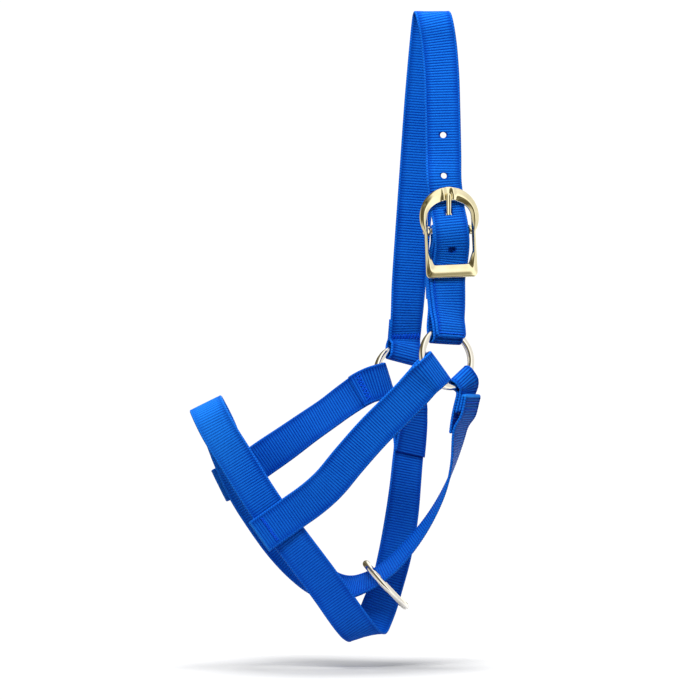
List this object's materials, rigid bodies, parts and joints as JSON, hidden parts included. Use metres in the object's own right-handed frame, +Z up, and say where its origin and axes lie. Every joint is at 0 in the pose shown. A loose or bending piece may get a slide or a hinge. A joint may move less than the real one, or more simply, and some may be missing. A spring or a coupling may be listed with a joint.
{
  "type": "head halter",
  "caption": "Webbing head halter with a buckled crown strap, noseband, cheek straps, jaw straps, side rings and a lead ring under the chin.",
  "frame": {"origin": "inner face of the crown strap's top fold, where the halter hangs", "axes": "+Z up as it hangs, +X towards the back of the head, +Y from the near side (with the buckle) to the far side"},
  "size_m": [0.2082, 0.0855, 0.4511],
  "materials": {
    "webbing": "ribbed woven nylon webbing, royal blue",
    "thread": "blue sewing thread",
    "ring_nickel": "polished nickel plate",
    "buckle_nickel": "polished cast metal, pale brass tone"
  },
  "bodies": {
    "crown": {"crown_strap": "webbing", "buckle_tab": "webbing", "crown_ring_seam": "thread", "buckle_tab_seam": "thread", "crown_tip_seam": "thread"},
    "head": {"nose_jaw_strap": "webbing", "near_cheek_strap": "webbing", "far_cheek_strap": "webbing", "near_jaw_tab": "webbing", "far_jaw_tab": "webbing", "near_cheek_ring_seam": "thread", "far_cheek_ring_seam": "thread", "near_cheek_nose_seam": "thread", "far_cheek_nose_seam": "thread", "near_jaw_seam": "thread", "far_jaw_seam": "thread"},
    "near_ring": {"near_ring": "ring_nickel"},
    "far_ring": {"far_ring": "ring_nickel"},
    "lead_ring": {"lead_ring": "ring_nickel"},
    "buckle": {"buckle_frame": "buckle_nickel", "buckle_bar": "ring_nickel"},
    "tongue": {"buckle_tongue": "buckle_nickel"}
  },
  "joints": [
    {"name": "head_swing", "type": "hinge", "parent": "crown", "child": "head", "pos_m": [0.0103, -0.025, -0.2463], "axis": [-0.524, 0.8239, -0.2159], "range_deg": [-30, 14]},
    {"name": "near_ring_spin", "type": "hinge", "parent": "crown", "child": "near_ring", "pos_m": [0.0103, -0.025, -0.2463], "axis": [-0.524, 0.8239, -0.2159], "continuous": true},
    {"name": "far_ring_spin", "type": "hinge", "parent": "crown", "child": "far_ring", "pos_m": [-0.0215, 0.025, -0.2594], "axis": [-0.524, 0.8239, -0.2159], "continuous": true},
    {"name": "lead_ring_swing", "type": "hinge", "parent": "head", "child": "lead_ring", "pos_m": [-0.0329, 0, -0.4081], "axis": [0.6766, 0, -0.7363], "range_deg": [-12, 12]},
    {"name": "buckle_rock", "type": "hinge", "parent": "crown", "child": "buckle", "pos_m": [0.0119, -0.017, -0.1553], "axis": [0.9836, 0.1734, 0.0489], "range_deg": [-2, 2], "deforming": ["crown_strap"]},
    {"name": "tongue_lift", "type": "hinge", "parent": "buckle", "child": "tongue", "pos_m": [0.0119, -0.017, -0.1553], "axis": [0.9836, 0.1734, 0.0489], "range_deg": [0, 25], "deforming": ["crown_strap"]}
  ]
}
